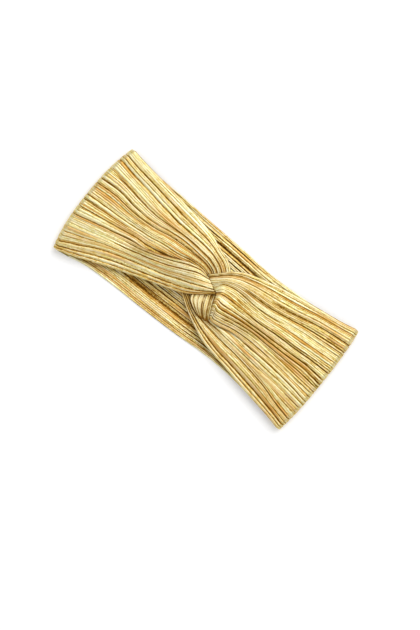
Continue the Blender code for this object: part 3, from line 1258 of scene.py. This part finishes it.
@dataclass(frozen=True)
class GoldFoil:
    """The finish of the cloth: gold foil on a fine knit.

    crease, deep, gold, light, cream: its colours, from the darkest tone to the palest; the darker ones show
    mostly where shade is painted
    stops: the tones that have these colours
    orange: the colour of its warm tint, and of the painted warm bounce light beside its valleys
    lemon: the tint of its cooler patches
    grazing: the tint of its gloss
    gloss, roughness: how strong the gloss is, and how rough the surface
    streak, speckle: the mottling of its tone
    patch: the mottling that makes its cooler patches
    tone_start, patch_start: what is added to the mottling, so that it changes the tone by
        nothing on the whole, and makes about a quarter of the cloth cooler
    knit_strength, knit_height: how strong the knit's stitches are, and their height in metres
    """

    crease: Colour = (0.085, 0.030, 0.001)
    deep: Colour = (0.27, 0.115, 0.006)
    gold: Colour = (0.61, 0.462, 0.15)
    light: Colour = (0.71, 0.605, 0.275)
    cream: Colour = (0.81, 0.76, 0.51)
    stops: tuple[float, ...] = (0.0, 0.2, 0.5, 0.72, 0.97)
    orange: Colour = (0.50, 0.235, 0.035)
    lemon: Colour = (0.96, 1.0, 0.80)
    grazing: Colour = (0.80, 0.52, 0.18)
    gloss: float = 0.1
    roughness: float = 0.37
    streak: Mottle = Mottle(0.0015, 0.010, 1.3)
    speckle: Mottle = Mottle(0.0010, 0.0019, 1.2)
    patch: Mottle = Mottle(0.005, 0.022, 3.0)
    tone_start: float = -1.25
    patch_start: float = -1.25
    knit_strength: float = 0.35
    knit_height: float = 0.0001

    def material(self, streaks: FoilStreaks, grain: KnitGrain) -> bpy.types.Material:
        """Makes the finish.

        Args:
            streaks: The group that makes the streaks.
            grain: The group that makes the knit.

        Returns:
            The material.
        """
        material = bpy.data.materials.new("gold_foil")
        material.use_nodes = True
        nodes = Nodes(material.node_tree)
        shader = material.node_tree.nodes["Principled BSDF"]
        shader.inputs["Specular IOR Level"].default_value = self.gloss
        shader.inputs["Roughness"].default_value = self.roughness
        shader.inputs["Specular Tint"].default_value = (*self.grazing, 1.0)
        nodes.link(nodes.attribute("foil"), shader.inputs["Metallic"])
        tone = self._mottled(nodes, streaks, self.streak, self.tone_start)
        tone = self._mottled(nodes, streaks, self.speckle, tone)
        # The shade attribute brings in the painted shade, painted shadows and painted highlights
        tone = nodes.math("ADD", nodes.attribute("shade"), tone)
        cooler = self._mottled(nodes, streaks, self.patch, self.patch_start)
        cooler.node.use_clamp = True
        colour = nodes.mix("MULTIPLY", cooler, self._ramp(nodes, tone), self.lemon)
        # The orange is the cloth's own warm tint, and also painted warm bounce light beside the valleys
        colour = nodes.mix("MIX", nodes.attribute("warmth_and_painted_bounce"), colour, self.orange)
        nodes.link(colour, shader.inputs["Base Color"])
        bump = material.node_tree.nodes.new("ShaderNodeBump")
        bump.inputs["Strength"].default_value = self.knit_strength
        bump.inputs["Distance"].default_value = self.knit_height
        nodes.link(nodes.use(grain), bump.inputs["Height"])
        nodes.link(bump.outputs["Normal"], shader.inputs["Normal"])
        return material

    @staticmethod
    def _mottled(
        nodes: Nodes, streaks: FoilStreaks, mottle: Mottle, start: bpy.types.NodeSocket | float
    ) -> bpy.types.NodeSocket:
        """Adds one size of mottling to a number or to what a socket gives."""
        streak = nodes.use(streaks, Pitch=mottle.pitch, Run=mottle.run)
        return nodes.math("MULTIPLY_ADD", streak, mottle.gain, start)

    def _ramp(self, nodes: Nodes, tone: bpy.types.NodeSocket) -> bpy.types.NodeSocket:
        """Gives each tone its colour.

        Args:
            nodes: The material's nodes.
            tone: The socket of the tone.

        Returns:
            The socket of the colour.
        """
        ramp = nodes.tree.nodes.new("ShaderNodeValToRGB")
        ramp.color_ramp.interpolation = "LINEAR"
        elements = ramp.color_ramp.elements
        colours = (self.crease, self.deep, self.gold, self.light, self.cream)
        for number, (place, colour) in enumerate(zip(self.stops, colours)):
            # A new ramp has two stops of its own
            stop = elements[number] if number < 2 else elements.new(place)
            stop.position = place
            stop.color = (*colour, 1.0)
        nodes.link(tone, ramp.inputs["Fac"])
        return ramp.outputs["Color"]


@dataclass(frozen=True)
class Softbox:
    """A square soft light, turned towards the band.

    name: its name
    place: where it stands, in metres
    size: its side in metres
    power: its power in watts
    """

    name: str
    place: tuple[float, float, float]
    size: float
    power: float

    def build(self) -> None:
        """Adds the light."""
        bpy.ops.object.select_all(action="DESELECT")
        bpy.ops.object.light_add(type="AREA", location=self.place)
        light = bpy.context.object
        light.name = self.name
        light.data.shape = "SQUARE"
        light.data.size = self.size
        light.data.energy = self.power
        aim = -Vector(self.place)
        light.rotation_euler = aim.to_track_quat("-Z", "Y").to_euler()


@dataclass(frozen=True)
class Studio:
    """The pale floor, the soft light and the camera, which looks straight down. Lengths in metres.

    floor_size, floor_drop: the floor's side, and how far it lies below the band
    floor_tone, floor_roughness, floor_gloss, floor_glow: the floor's finish
    sky: strength of the white light from all around
    lights: the lamps
    camera_place: where the camera stands
    camera_turn: how far it is turned about its line of sight, in degrees
    lens, sensor: its focal length and its sensor's width, in millimetres
    """

    floor_size: float = 6.0
    floor_drop: float = 0.00005
    floor_tone: float = 0.93
    floor_roughness: float = 0.9
    floor_gloss: float = 0.1
    floor_glow: float = 0.10
    sky: float = 0.80
    lights: tuple[Softbox, ...] = (Softbox("key_light", (0.0, 1.2, 1.6), 1.6, 20.0),)
    camera_place: tuple[float, float, float] = (0.0175, -0.0144, 1.24)
    camera_turn: float = 38.916
    lens: float = 85.0
    sensor: float = 36.0

    def build(self) -> None:
        """Adds the floor, the lights, the sky and the camera."""
        self._floor()
        for light in self.lights:
            light.build()
        sky = bpy.data.worlds.new("sky")
        bpy.context.scene.world = sky
        sky.use_nodes = True
        background = sky.node_tree.nodes["Background"]
        background.inputs["Color"].default_value = WHITE
        background.inputs["Strength"].default_value = self.sky
        self._camera()
        bpy.context.scene.view_settings.view_transform = "Standard"

    def _floor(self) -> None:
        """Adds the floor."""
        bpy.ops.object.select_all(action="DESELECT")
        bpy.ops.mesh.primitive_plane_add(size=self.floor_size, location=(0, 0, -self.floor_drop))
        floor = bpy.context.object
        floor.name = "floor"
        paint = bpy.data.materials.new("pale_floor")
        paint.use_nodes = True
        shader = paint.node_tree.nodes["Principled BSDF"]
        shader.inputs["Base Color"].default_value = (self.floor_tone, self.floor_tone, self.floor_tone, 1.0)
        shader.inputs["Roughness"].default_value = self.floor_roughness
        shader.inputs["Specular IOR Level"].default_value = self.floor_gloss
        shader.inputs["Emission Color"].default_value = WHITE
        shader.inputs["Emission Strength"].default_value = self.floor_glow
        floor.data.materials.append(paint)

    def _camera(self) -> None:
        """Adds the camera."""
        turn = (0, 0, math.radians(self.camera_turn))
        bpy.ops.object.camera_add(location=self.camera_place, rotation=turn)
        camera = bpy.context.object
        camera.name = "camera"
        camera.data.lens = self.lens
        camera.data.sensor_width = self.sensor
        camera.data.dof.use_dof = False
        bpy.context.scene.camera = camera


# The line where the left strip's legs meet the right strip's, from the top of the knot down
# to the pinch below it
KNOT_LINE = Station(
    along=(-0.058, -0.028, 0.002, 0.036, 0.068, 0.084, 0.102, 0.118, 0.138),
    across=(0.235, 0.190, 0.145, 0.090, 0.050, -0.080, -0.200, -0.300, -0.410),
    layer=(1.55, 1.72, 1.82, 1.85, 1.85, 1.95, 1.95, 1.75, 1.35),
)

# The point of the line at which the lower left leg's end stops, and the gap along the line
KNOT_TIP = 4
KNOT_GAP = 0.0007

# The sections of each leg, from its end fold to the knot
LEFT_UPPER = (
    level(-1.00, 1.00, 0.745, 0.33, 0.00, -0.37),
    level(-0.85, 1.00, 0.720, 0.36, 0.02, -0.30),
    level(-0.70, 1.00, 0.700, 0.33, 0.04, -0.225),
    level(-0.55, 0.99, 0.660, 0.335, 0.08, -0.145),
    Station((-0.49,) * 5, (0.98, 0.645, 0.36, 0.10, -0.150), (0.0, 0.0, 0.0, 0.0, -0.2)),
    Station((-0.42,) * 5, (0.96, 0.630, 0.40, 0.14, -0.130), (0.0, 0.0, 0.0, 0.0, -0.3)),
    Station((-0.28,) * 5, (0.915, 0.625, 0.44, 0.19, 0.00), (0.0, 0.10, 0.10, 0.05, -0.2)),
    Station((-0.18,) * 5, (0.860, 0.615, 0.425, 0.25, 0.06), (0.0, 0.25, 0.30, 0.10, 0.0)),
    Station(
        (-0.100, -0.095, -0.095, -0.100, -0.115),
        (0.770, 0.575, 0.400, 0.255, 0.070),
        (0.0, 0.30, 0.40, 0.20, 0.0),
    ),
    Station(
        (0.000, -0.020, -0.040, -0.055, -0.085),
        (0.670, 0.490, 0.340, 0.220, 0.040),
        (0.0, 0.10, 0.15, 0.10, 0.0),
    ),
    Station(
        (0.065, 0.035, 0.005, -0.025, -0.070),
        (0.480, 0.330, 0.210, 0.100, -0.020),
        (0.2, 0.20, 0.20, 0.20, 0.2),
    ),
    Station(
        (0.082, 0.055, 0.025, -0.010, -0.060),
        (0.250, 0.170, 0.080, 0.000, -0.090),
        (0.4, 0.40, 0.40, 0.40, 0.4),
    ),
    Station(
        (0.070, 0.048, 0.020, -0.015, -0.058),
        (0.040, 0.000, -0.050, -0.110, -0.170),
        (0.5, 0.55, 0.60, 0.55, 0.5),
    ),
    Station(
        (0.083, 0.060, 0.030, -0.010, -0.058),
        (-0.080, -0.110, -0.150, -0.195, -0.240),
        (0.6, 0.75, 0.80, 0.75, 0.7),
    ),
    Station(
        (0.101, 0.078, 0.045, 0.005, -0.045),
        (-0.200, -0.225, -0.255, -0.290, -0.325),
        (0.9, 1.05, 1.10, 1.00, 0.9),
    ),
    Station(
        (0.117, 0.095, 0.065, 0.030, -0.010),
        (-0.300, -0.320, -0.345, -0.370, -0.395),
        (1.0, 1.15, 1.20, 1.10, 1.0),
    ),
    Station(
        (0.136, 0.118, 0.093, 0.068, 0.042),
        (-0.405, -0.420, -0.435, -0.450, -0.460),
        (0.8, 0.8, 0.8, 0.8, 0.8),
    ),
)

LEFT_LOWER = (
    level(-1.00, -0.37, -0.530, -0.68, -0.85, -1.00),
    level(-0.85, -0.30, -0.470, -0.60, -0.745, -0.955),
    level(-0.70, -0.225, -0.390, -0.49, -0.60, -0.865),
    level(-0.55, -0.145, -0.305, -0.39, -0.475, -0.740),
    Station((-0.49,) * 5, (-0.122, -0.26, -0.35, -0.43, -0.690), (0.5, 0.3, 0.2, 0.2, 0.1)),
    Station((-0.42,) * 5, (-0.065, -0.21, -0.30, -0.38, -0.630), (1.0, 0.8, 0.6, 0.5, 0.4)),
    Station((-0.30,) * 5, (0.070, -0.10, -0.20, -0.29, -0.520), (1.3, 1.2, 1.0, 0.8, 0.7)),
    Station((-0.20,) * 5, (0.200, 0.03, -0.09, -0.19, -0.430), (1.5, 1.6, 1.5, 1.3, 1.0)),
    Station(
        (-0.120, -0.105, -0.090, -0.080, -0.070),
        (0.245, 0.150, 0.040, -0.060, -0.270),
        (1.6, 1.9, 2.0, 1.9, 1.4),
    ),
)

RIGHT_UPPER = (
    level(1.00, 1.00, 0.720, 0.42, 0.170, -0.04, -0.20, -0.39),
    level(0.85, 1.00, 0.730, 0.42, 0.175, -0.01, -0.19, -0.365),
    level(0.70, 1.00, 0.715, 0.415, 0.160, -0.02, -0.17, -0.35),
    level(0.55, 0.975, 0.650, 0.39, 0.150, -0.03, -0.155, -0.34),
    Station(
        (0.42,) * 7,
        (0.930, 0.600, 0.345, 0.125, -0.035, -0.150, -0.335),
        (0.0, 0.10, 0.15, 0.20, 0.20, 0.15, 0.0),
    ),
    Station(
        (0.30,) * 7,
        (0.860, 0.570, 0.335, 0.120, -0.060, -0.190, -0.345),
        (0.3, 0.50, 0.60, 0.80, 1.00, 1.00, 0.90),
    ),
    Station(
        (0.20,) * 7,
        (0.780, 0.530, 0.350, 0.120, -0.100, -0.250, -0.410),
        (0.7, 1.00, 1.20, 1.50, 1.80, 1.60, 1.15),
    ),
    Station(
        (0.120, 0.125, 0.125, 0.128, 0.138, 0.148, 0.165),
        (0.695, 0.470, 0.330, 0.115, -0.120, -0.270, -0.420),
        (1.0, 1.40, 1.60, 1.80, 2.05, 1.80, 1.30),
    ),
    Station(
        (0.055, 0.065, 0.070, 0.095, 0.108, 0.124, 0.150),
        (0.570, 0.385, 0.275, 0.100, -0.095, -0.235, -0.415),
        (1.2, 1.65, 1.85, 1.95, 2.08, 1.98, 1.45),
    ),
)

RIGHT_LOWER = (
    level(1.00, -0.39, -0.53, -0.77, -0.90, -1.00),
    level(0.85, -0.365, -0.53, -0.75, -0.89, -1.00),
    level(0.70, -0.35, -0.53, -0.69, -0.87, -0.995),
    level(0.55, -0.34, -0.52, -0.64, -0.835, -0.965),
    level(0.42, -0.335, -0.50, -0.60, -0.795, -0.915),
    Station((0.30,) * 5, (-0.310, -0.475, -0.575, -0.755, -0.865), (-0.2, 0.0, 0.0, 0.0, 0.0)),
    Station((0.20,) * 5, (-0.340, -0.455, -0.545, -0.685, -0.810), (-0.2, 0.0, 0.0, 0.0, 0.0)),
    level(0.10, -0.370, -0.435, -0.500, -0.595, -0.695),
    Station(
        (0.020, 0.015, 0.005, -0.002, -0.004),
        (-0.360, -0.395, -0.430, -0.465, -0.550),
        (0.0,) * 5,
    ),
    Station(
        (-0.040, -0.046, -0.053, -0.060, -0.070),
        (-0.270, -0.300, -0.330, -0.365, -0.430),
        (0.0,) * 5,
    ),
    Station(
        (-0.100, -0.110, -0.118, -0.126, -0.135),
        (-0.180, -0.205, -0.230, -0.255, -0.290),
        (0.0,) * 5,
    ),
)

# How far the back cloth reaches, from the left fold to the right one
BACK_EDGES = (
    BackEdge(-1.00, 1.000, -1.000),
    BackEdge(-0.87, 1.000, -0.998),
    BackEdge(-0.75, 1.000, -0.975),
    BackEdge(-0.50, 1.030, -0.985),
    BackEdge(-0.25, 1.035, -1.015),
    BackEdge(0.00, 1.030, -1.015),
    BackEdge(0.25, 0.995, -0.975),
    BackEdge(0.50, 0.995, -0.975),
    BackEdge(0.75, 1.000, -1.000),
    BackEdge(1.00, 1.000, -1.000),
)

# The long valleys of each cloth, from its upper edge down
LEFT_UPPER_VALLEYS = (
    Valley(0.10, 1.7, end=-0.40, breadth=0.75),
    Valley(0.10, 1.0, start=-0.45, breadth=0.6),
    Valley(0.19, 1.8, breadth=0.75),
    Valley(0.358, 1.2, start=-0.95, end=-0.02, warmth_and_painted_bounce=0.8),
    Valley(0.489, 1.5, end=-0.62, breadth=0.6),
    Valley(0.489, 0.9, start=-0.66, end=-0.10, warmth_and_painted_bounce=0.8),
    Valley(0.489, 1.6, start=-0.14),
    Valley(0.558, 1.7, breadth=0.65, warmth_and_painted_bounce=0.5),
    Valley(0.610, 0.9, end=-0.60, warmth_and_painted_bounce=0.9),
    Valley(0.73, 0.8, breadth=0.5),
    Valley(0.796, 1.0, end=-0.66),
    Valley(0.89, 1.5, warmth_and_painted_bounce=0.5),
    Valley(1.00, 1.5, breadth=0.5),
)
LEFT_LOWER_VALLEYS = (
    Valley(0.00, 1.5, end=-0.5, breadth=0.5),
    Valley(0.09, 1.4, start=-0.60, breadth=0.6),
    Valley(0.254, 1.5, start=-0.64, breadth=0.65),
    Valley(0.492, 0.6, breadth=0.5),
    Valley(0.762, 1.7, breadth=0.65),
    Valley(0.89, 1.4, breadth=0.6),
    Valley(0.95, 0.9, breadth=0.6),
)
RIGHT_UPPER_VALLEYS = (
    Valley(0.08, 2.0, end=0.14, breadth=0.85),
    Valley(0.08, 0.9, start=0.10, warmth_and_painted_bounce=0.9),
    Valley(0.20, 1.6, start=0.42, breadth=0.75),
    Valley(0.295, 1.7, start=0.22, breadth=0.75),
    Valley(0.417, 1.3, start=0.04, end=0.52),
    Valley(0.594, 1.6, start=0.33),
    Valley(0.594, 1.3, start=0.05, end=0.22),
    Valley(0.69, 1.1, start=0.06, end=0.24, breadth=0.45),
    Valley(0.69, 1.5, start=0.30, breadth=0.75),
    Valley(0.748, 1.6, start=0.12, breadth=0.7),
    Valley(0.806, 1.3, start=0.07, breadth=0.55),
    Valley(0.856, 1.3, start=0.05, end=0.45, breadth=0.5, warmth_and_painted_bounce=0.6),
    Valley(0.856, 0.9, start=0.60),
    Valley(0.93, 1.3, start=0.05, end=0.6, breadth=0.5),
    Valley(1.00, 1.5, breadth=0.5),
)
RIGHT_LOWER_VALLEYS = (
    Valley(0.00, 1.5, start=0.4, breadth=0.5),
    Valley(0.23, 1.5, end=0.62),
    Valley(0.23, 1.3, start=0.85),
    Valley(0.623, 1.5),
    Valley(0.836, 1.7, breadth=0.75),
    Valley(0.92, 1.0),
)
BACK_VALLEYS = (
    Valley(0.034, 1.0, start=-0.1, end=0.17),
    Valley(0.062, 1.0, start=-0.22, end=-0.13),
    Valley(0.105, 1.8, start=-0.14, end=0.24, breadth=1.3),
    Valley(0.133, 1.2, start=-0.07, end=0.19),
    Valley(0.173, 1.0, start=0.01, end=0.10),
    Valley(0.742, 1.7, start=-0.26, end=-0.04, breadth=0.5),
    Valley(0.777, 1.2, start=-0.3, end=0.0),
    Valley(0.822, 1.7, start=-0.52, end=0.07, breadth=0.5),
    Valley(0.852, 1.8, start=-0.47, end=0.12, breadth=1.7),
    Valley(0.902, 1.2, start=-0.07, end=0.27),
    Valley(0.932, 1.2, start=-0.02, end=0.32),
    Valley(0.966, 0.8, warmth_and_painted_bounce=0.9),
)


# The patches of painted highlight and painted shadow on each cloth
LEFT_UPPER_PAINTED_LIGHTS = (
    PaintedLight(-45.0, 1.5, 8.0, 1.6, -0.35),
    PaintedLight(-34.0, 6.0, 8.0, 1.8, -0.45),
    PaintedLight(-23.0, 11.0, 7.0, 1.8, -0.50),
    PaintedLight(-13.0, 13.2, 6.0, 1.8, -0.20),
    PaintedLight(3.0, -11.0, 6.0, 7.0, 0.30),
    PaintedLight(6.0, -7.2, 2.0, 2.0, 0.7),
    PaintedLight(0.0, -12.0, 2.0, 2.0, 0.7),
    PaintedLight(10.5, -5.0, 2.0, 2.2, 0.45),
    PaintedLight(12.8, -10.0, 2.0, 2.4, 0.45),
    PaintedLight(15.5, -15.0, 2.0, 2.4, 0.40),
    PaintedLight(-19.0, 24.0, 6.0, 2.0, 0.35),
    PaintedLight(-30.0, 38.0, 7.0, 2.0, 0.30),
    PaintedLight(-70.0, 25.0, 45.0, 30.0, 0.06),
)
LEFT_LOWER_PAINTED_LIGHTS = (
    PaintedLight(1.5, 2.5, 3.0, 1.6, 0.35),
    PaintedLight(-30.0, 2.0, 9.0, 1.4, 0.25),
    PaintedLight(-80.0, -30.0, 40.0, 20.0, -0.08),
)
RIGHT_UPPER_PAINTED_LIGHTS = (
    PaintedLight(19.2, 1.7, 4.0, 2.4, 0.7),
    PaintedLight(9.0, 9.0, 4.0, 3.0, 0.4),
    PaintedLight(22.0, -11.0, 8.0, 4.0, 0.20),
    PaintedLight(33.0, 8.0, 12.0, 6.0, -0.24),
    PaintedLight(80.0, 25.0, 45.0, 30.0, -0.09),
    PaintedLight(33.0, -12.0, 8.0, 2.5, -0.15),
    PaintedLight(0.5, 14.5, 3.0, 3.0, 0.30),
    PaintedLight(6.0, 20.0, 3.0, 3.0, 0.35),
    PaintedLight(12.0, 25.0, 3.0, 3.0, 0.25),
)
RIGHT_LOWER_PAINTED_LIGHTS = (
    PaintedLight(36.0, -20.0, 9.0, 2.5, 0.30),
    PaintedLight(52.0, -23.0, 9.0, 2.5, 0.25),
)
BACK_PAINTED_LIGHTS = (
    PaintedLight(-68.0, -38.0, 14.0, 3.0, -0.20),
    PaintedLight(-50.0, -32.5, 12.0, 3.5, -0.25),
    PaintedLight(-35.0, -28.0, 10.0, 4.0, -0.25),
    PaintedLight(-20.0, -25.0, 8.0, 4.0, -0.22),
    PaintedLight(-8.0, -26.0, 6.0, 4.0, -0.15),
)

def knot_row(plan: BandPlan, line: Station, count: int, side: Side) -> Station:
    """A leg's last station on the knot line, moved clear of it by half the seam's gap.

    Args:
        plan: The band's layout.
        line: The stretch of the knot line that the leg ends on.
        count: Number of the leg's lines.
        side: The side of the knot line that the leg lies on.

    Returns:
        The station.
    """
    picks = np.linspace(0, len(line.along) - 1, count)
    values = through(np.arange(len(line.along)), np.array(line).T, picks)
    along = values[:, 0] + side.value * KNOT_GAP / 2 / plan.reach(Side.RIGHT)
    across = values[:, 1] + side.value * KNOT_GAP / plan.waist_width
    return Station(tuple(along), tuple(across), tuple(values[:, 2]))


def left_strip(plan: BandPlan) -> Strip:
    """The left strip, whose upper leg tucks under the knot and whose lower leg lies on top.

    Args:
        plan: The band's layout.

    Returns:
        The strip, ready to be built.
    """
    tip = Station(*(column[: KNOT_TIP + 1] for column in KNOT_LINE))
    upper = Leg(
        name="left_upper_leg",
        stations=LEFT_UPPER,
        valleys=LEFT_UPPER_VALLEYS,
        painted_lights=LEFT_UPPER_PAINTED_LIGHTS,
        seed=100,
        free_rows=104,
        rolls=(1.6, 1.4),
        tuck=(2.2, 2.5),
        inner_edge=Edge.LOWER,
        end_roll=0.3,
        end_ribbing=0.6,
    )
    lower = Leg(
        name="left_lower_leg",
        stations=LEFT_LOWER + (knot_row(plan, tip, len(LEFT_LOWER[0].along), Side.LEFT),),
        valleys=LEFT_LOWER_VALLEYS,
        painted_lights=LEFT_LOWER_PAINTED_LIGHTS,
        seed=200,
        free_rows=96,
        rolls=(1.8, 1.6),
        tuck=(2.8, 1.0),
        inner_edge=Edge.UPPER,
        ribbing=0.6,
    )
    return Strip("left_strip", Side.LEFT, upper, lower, slit=3, shared_rows=60)


def right_strip(plan: BandPlan) -> Strip:
    """The right strip, whose upper leg fans out of the knot and whose lower leg runs beneath it.

    Args:
        plan: The band's layout.

    Returns:
        The strip, ready to be built.
    """
    upper = Leg(
        name="right_upper_leg",
        stations=RIGHT_UPPER + (knot_row(plan, KNOT_LINE, len(RIGHT_UPPER[0].along), Side.RIGHT),),
        valleys=RIGHT_UPPER_VALLEYS,
        painted_lights=RIGHT_UPPER_PAINTED_LIGHTS,
        seed=300,
        free_rows=64,
        rolls=(1.6, 1.6),
        tuck=(4.2, 0.6),
        inner_edge=Edge.LOWER,
        ribbing=1.2,
    )
    lower = Leg(
        name="right_lower_leg",
        stations=RIGHT_LOWER,
        valleys=RIGHT_LOWER_VALLEYS,
        painted_lights=RIGHT_LOWER_PAINTED_LIGHTS,
        seed=400,
        free_rows=84,
        rolls=(1.6, 1.6),
        tuck=(0.5, 2.0),
        inner_edge=Edge.UPPER,
    )
    return Strip("right_strip", Side.RIGHT, upper, lower, slit=4, shared_rows=80)


def main() -> None:
    """Builds the studio and the band's pieces in order, and reports each."""
    logging.basicConfig(level=logging.INFO, format="%(message)s")
    low, high = cad_box
    plan = BandPlan(length=high[0] - low[0], end_width=high[1] - low[1])
    Studio().build()
    finish = GoldFoil().material(FoilStreaks(), KnitGrain())
    cloth = Cloth()
    pieces = [BackCloth(BACK_EDGES, BACK_VALLEYS, BACK_PAINTED_LIGHTS).build(plan, cloth, finish)]
    for strip in (left_strip(plan), right_strip(plan)):
        pieces += strip.build(plan, cloth, finish)
    for piece in pieces:
        log.info("%s: %d faces", piece.name, len(piece.data.polygons))


if __name__ == "__main__":
    main()
